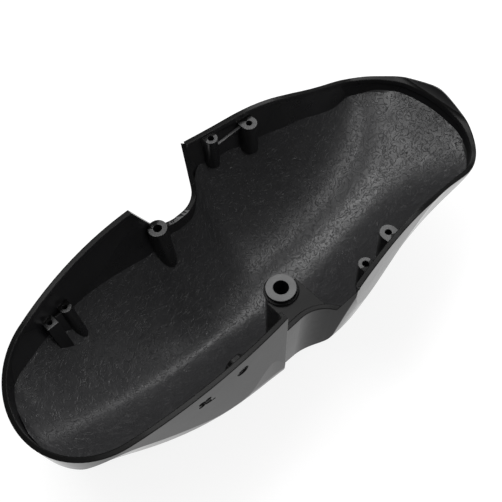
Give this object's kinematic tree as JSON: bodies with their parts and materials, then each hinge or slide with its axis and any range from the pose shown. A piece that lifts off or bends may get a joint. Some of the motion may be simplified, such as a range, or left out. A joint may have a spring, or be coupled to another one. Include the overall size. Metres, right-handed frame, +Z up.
{
  "type": "motorcycle front mudguard",
  "caption": "Deep curved front wheel mudguard with a waist for the fork legs, screw bosses and lugs inside, lying on its crown.",
  "frame": {"origin": "bottom centre of the bounding box: on the floor under the middle of the crown, which lies downwards", "axes": "+X along the mudguard towards its wider front lobe, +Y to the side with the slender boss, +Z up out of the hollow"},
  "size_m": [0.566, 0.239, 0.17],
  "materials": {
    "shell_plastic": "gloss outside, fine matte grain inside"
  },
  "bodies": {
    "root": {"mudguard_shell": "shell_plastic"}
  },
  "joints": []
}
